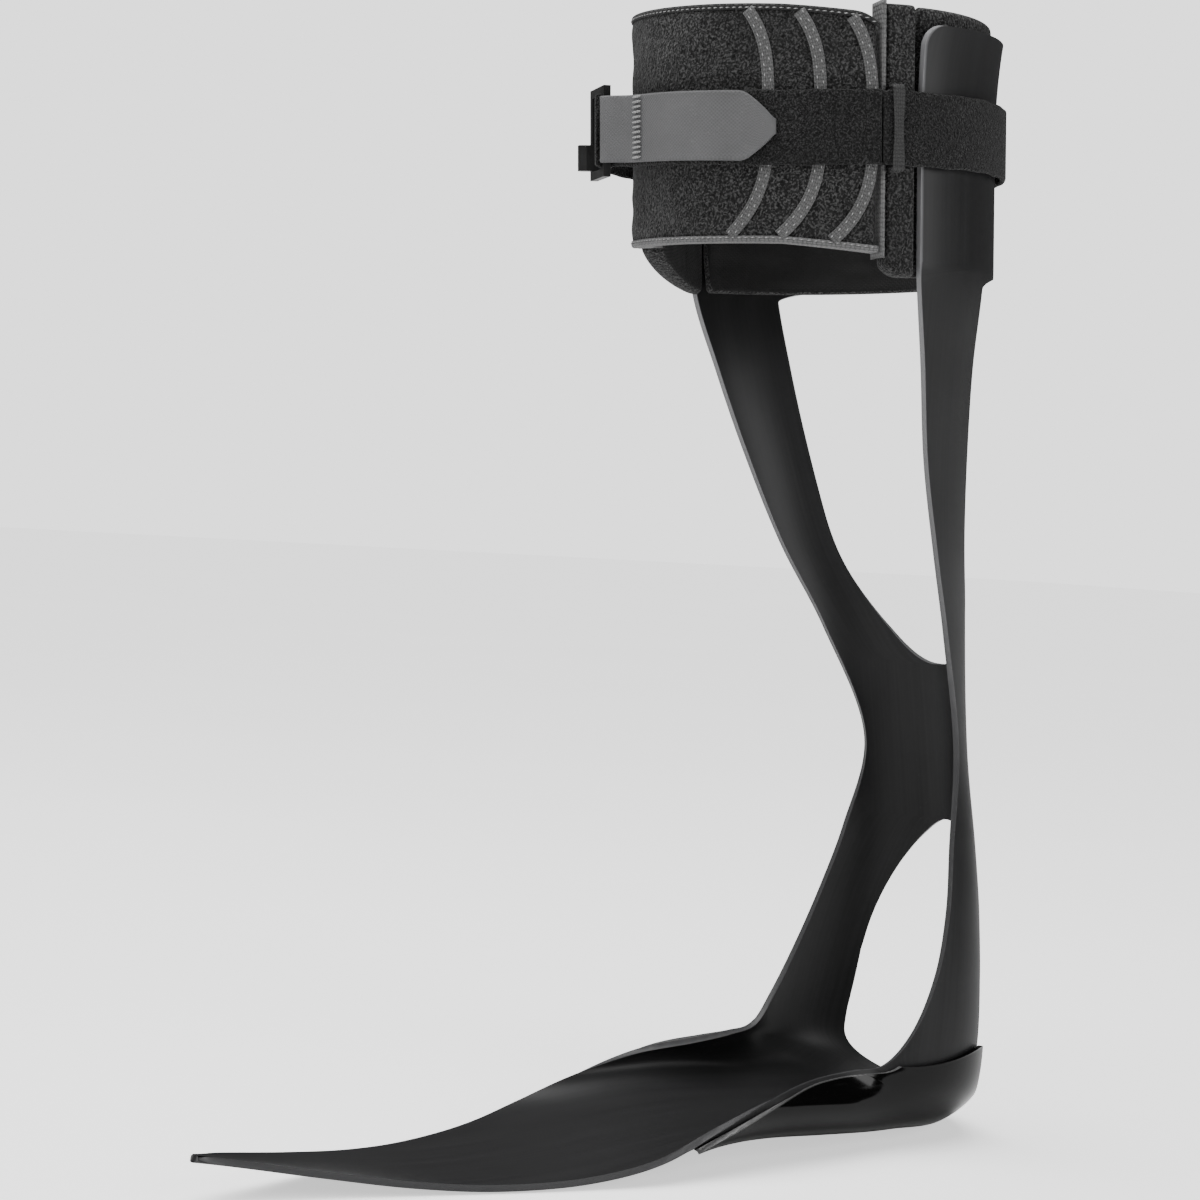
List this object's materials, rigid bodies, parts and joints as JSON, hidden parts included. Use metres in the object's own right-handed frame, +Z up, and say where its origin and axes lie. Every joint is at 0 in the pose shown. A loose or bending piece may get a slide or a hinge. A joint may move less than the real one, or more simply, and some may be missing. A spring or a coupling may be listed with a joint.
{
  "type": "ankle foot orthosis",
  "caption": "Ankle foot orthosis with a carbon footplate, open heel and twin calf struts, a padded calf cuff and a hook-tab strap that closes on a hook buckle",
  "frame": {"origin": "middle of the flat that the heel rests on, on the plane of symmetry of the shell", "axes": "+Z up along the leg, -Y towards the toes, +X to the wearer's left, the side the keeper is on"},
  "size_m": [0.1194, 0.2745, 0.3529],
  "materials": {
    "carbon": "satin carbon laminate with a faint vertical grain",
    "gloss_resin": "glossy black resin",
    "loop_fabric": "black loop pile fabric",
    "seam_tape": "flat woven tape with small stitches",
    "foam": "closed cell padding foam",
    "lining": "smooth knitted lining",
    "webbing": "black loop-faced strap webbing",
    "hook_tape": "grey hook tape",
    "thread": "grey sewing thread",
    "buckle_plastic": "moulded black plastic"
  },
  "bodies": {
    "brace": {"carbon_shell": "carbon", "heel_cover": "gloss_resin", "hook_patch_near": "hook_tape", "hook_patch_far": "hook_tape", "hook_patch_rear": "hook_tape", "liner_backing": "loop_fabric", "liner_foam": "foam", "liner_face": "lining", "flap_near": "loop_fabric", "flap_binding_near": "seam_tape", "flap_far": "loop_fabric", "flap_binding_far": "seam_tape", "strap_back": "webbing", "strap_keeper": "seam_tape", "hook_plate": "buckle_plastic"},
    "front": {"pad_panel_1": "loop_fabric", "pad_panel_2": "loop_fabric", "pad_panel_3": "loop_fabric", "seam_tape_1": "seam_tape", "seam_tape_2": "seam_tape", "seam_tape_3": "seam_tape", "pad_foam": "foam", "pad_lining": "lining", "pad_binding_low": "seam_tape", "pad_binding_top": "seam_tape", "strap_front": "webbing"},
    "buckle": {"buckle_ring": "buckle_plastic"},
    "tab": {"hook_tab": "hook_tape", "bar_tacks": "thread"}
  },
  "joints": [
    {"name": "front_open", "type": "hinge", "parent": "brace", "child": "front", "pos_m": [0.05612, -0.07003, 0.31047], "axis": [0, -0.0732, 0.9973], "range_deg": [0, 110]},
    {"name": "ring_swing", "type": "hinge", "parent": "front", "child": "buckle", "pos_m": [-0.02818, -0.10939, 0.30758], "axis": [0, -0.0732, 0.9973], "range_deg": [0, 35]},
    {"name": "tab_peel", "type": "hinge", "parent": "front", "child": "tab", "pos_m": [-0.02733, -0.11213, 0.30738], "axis": [0, 0.0732, -0.9973], "range_deg": [0, 100]}
  ]
}
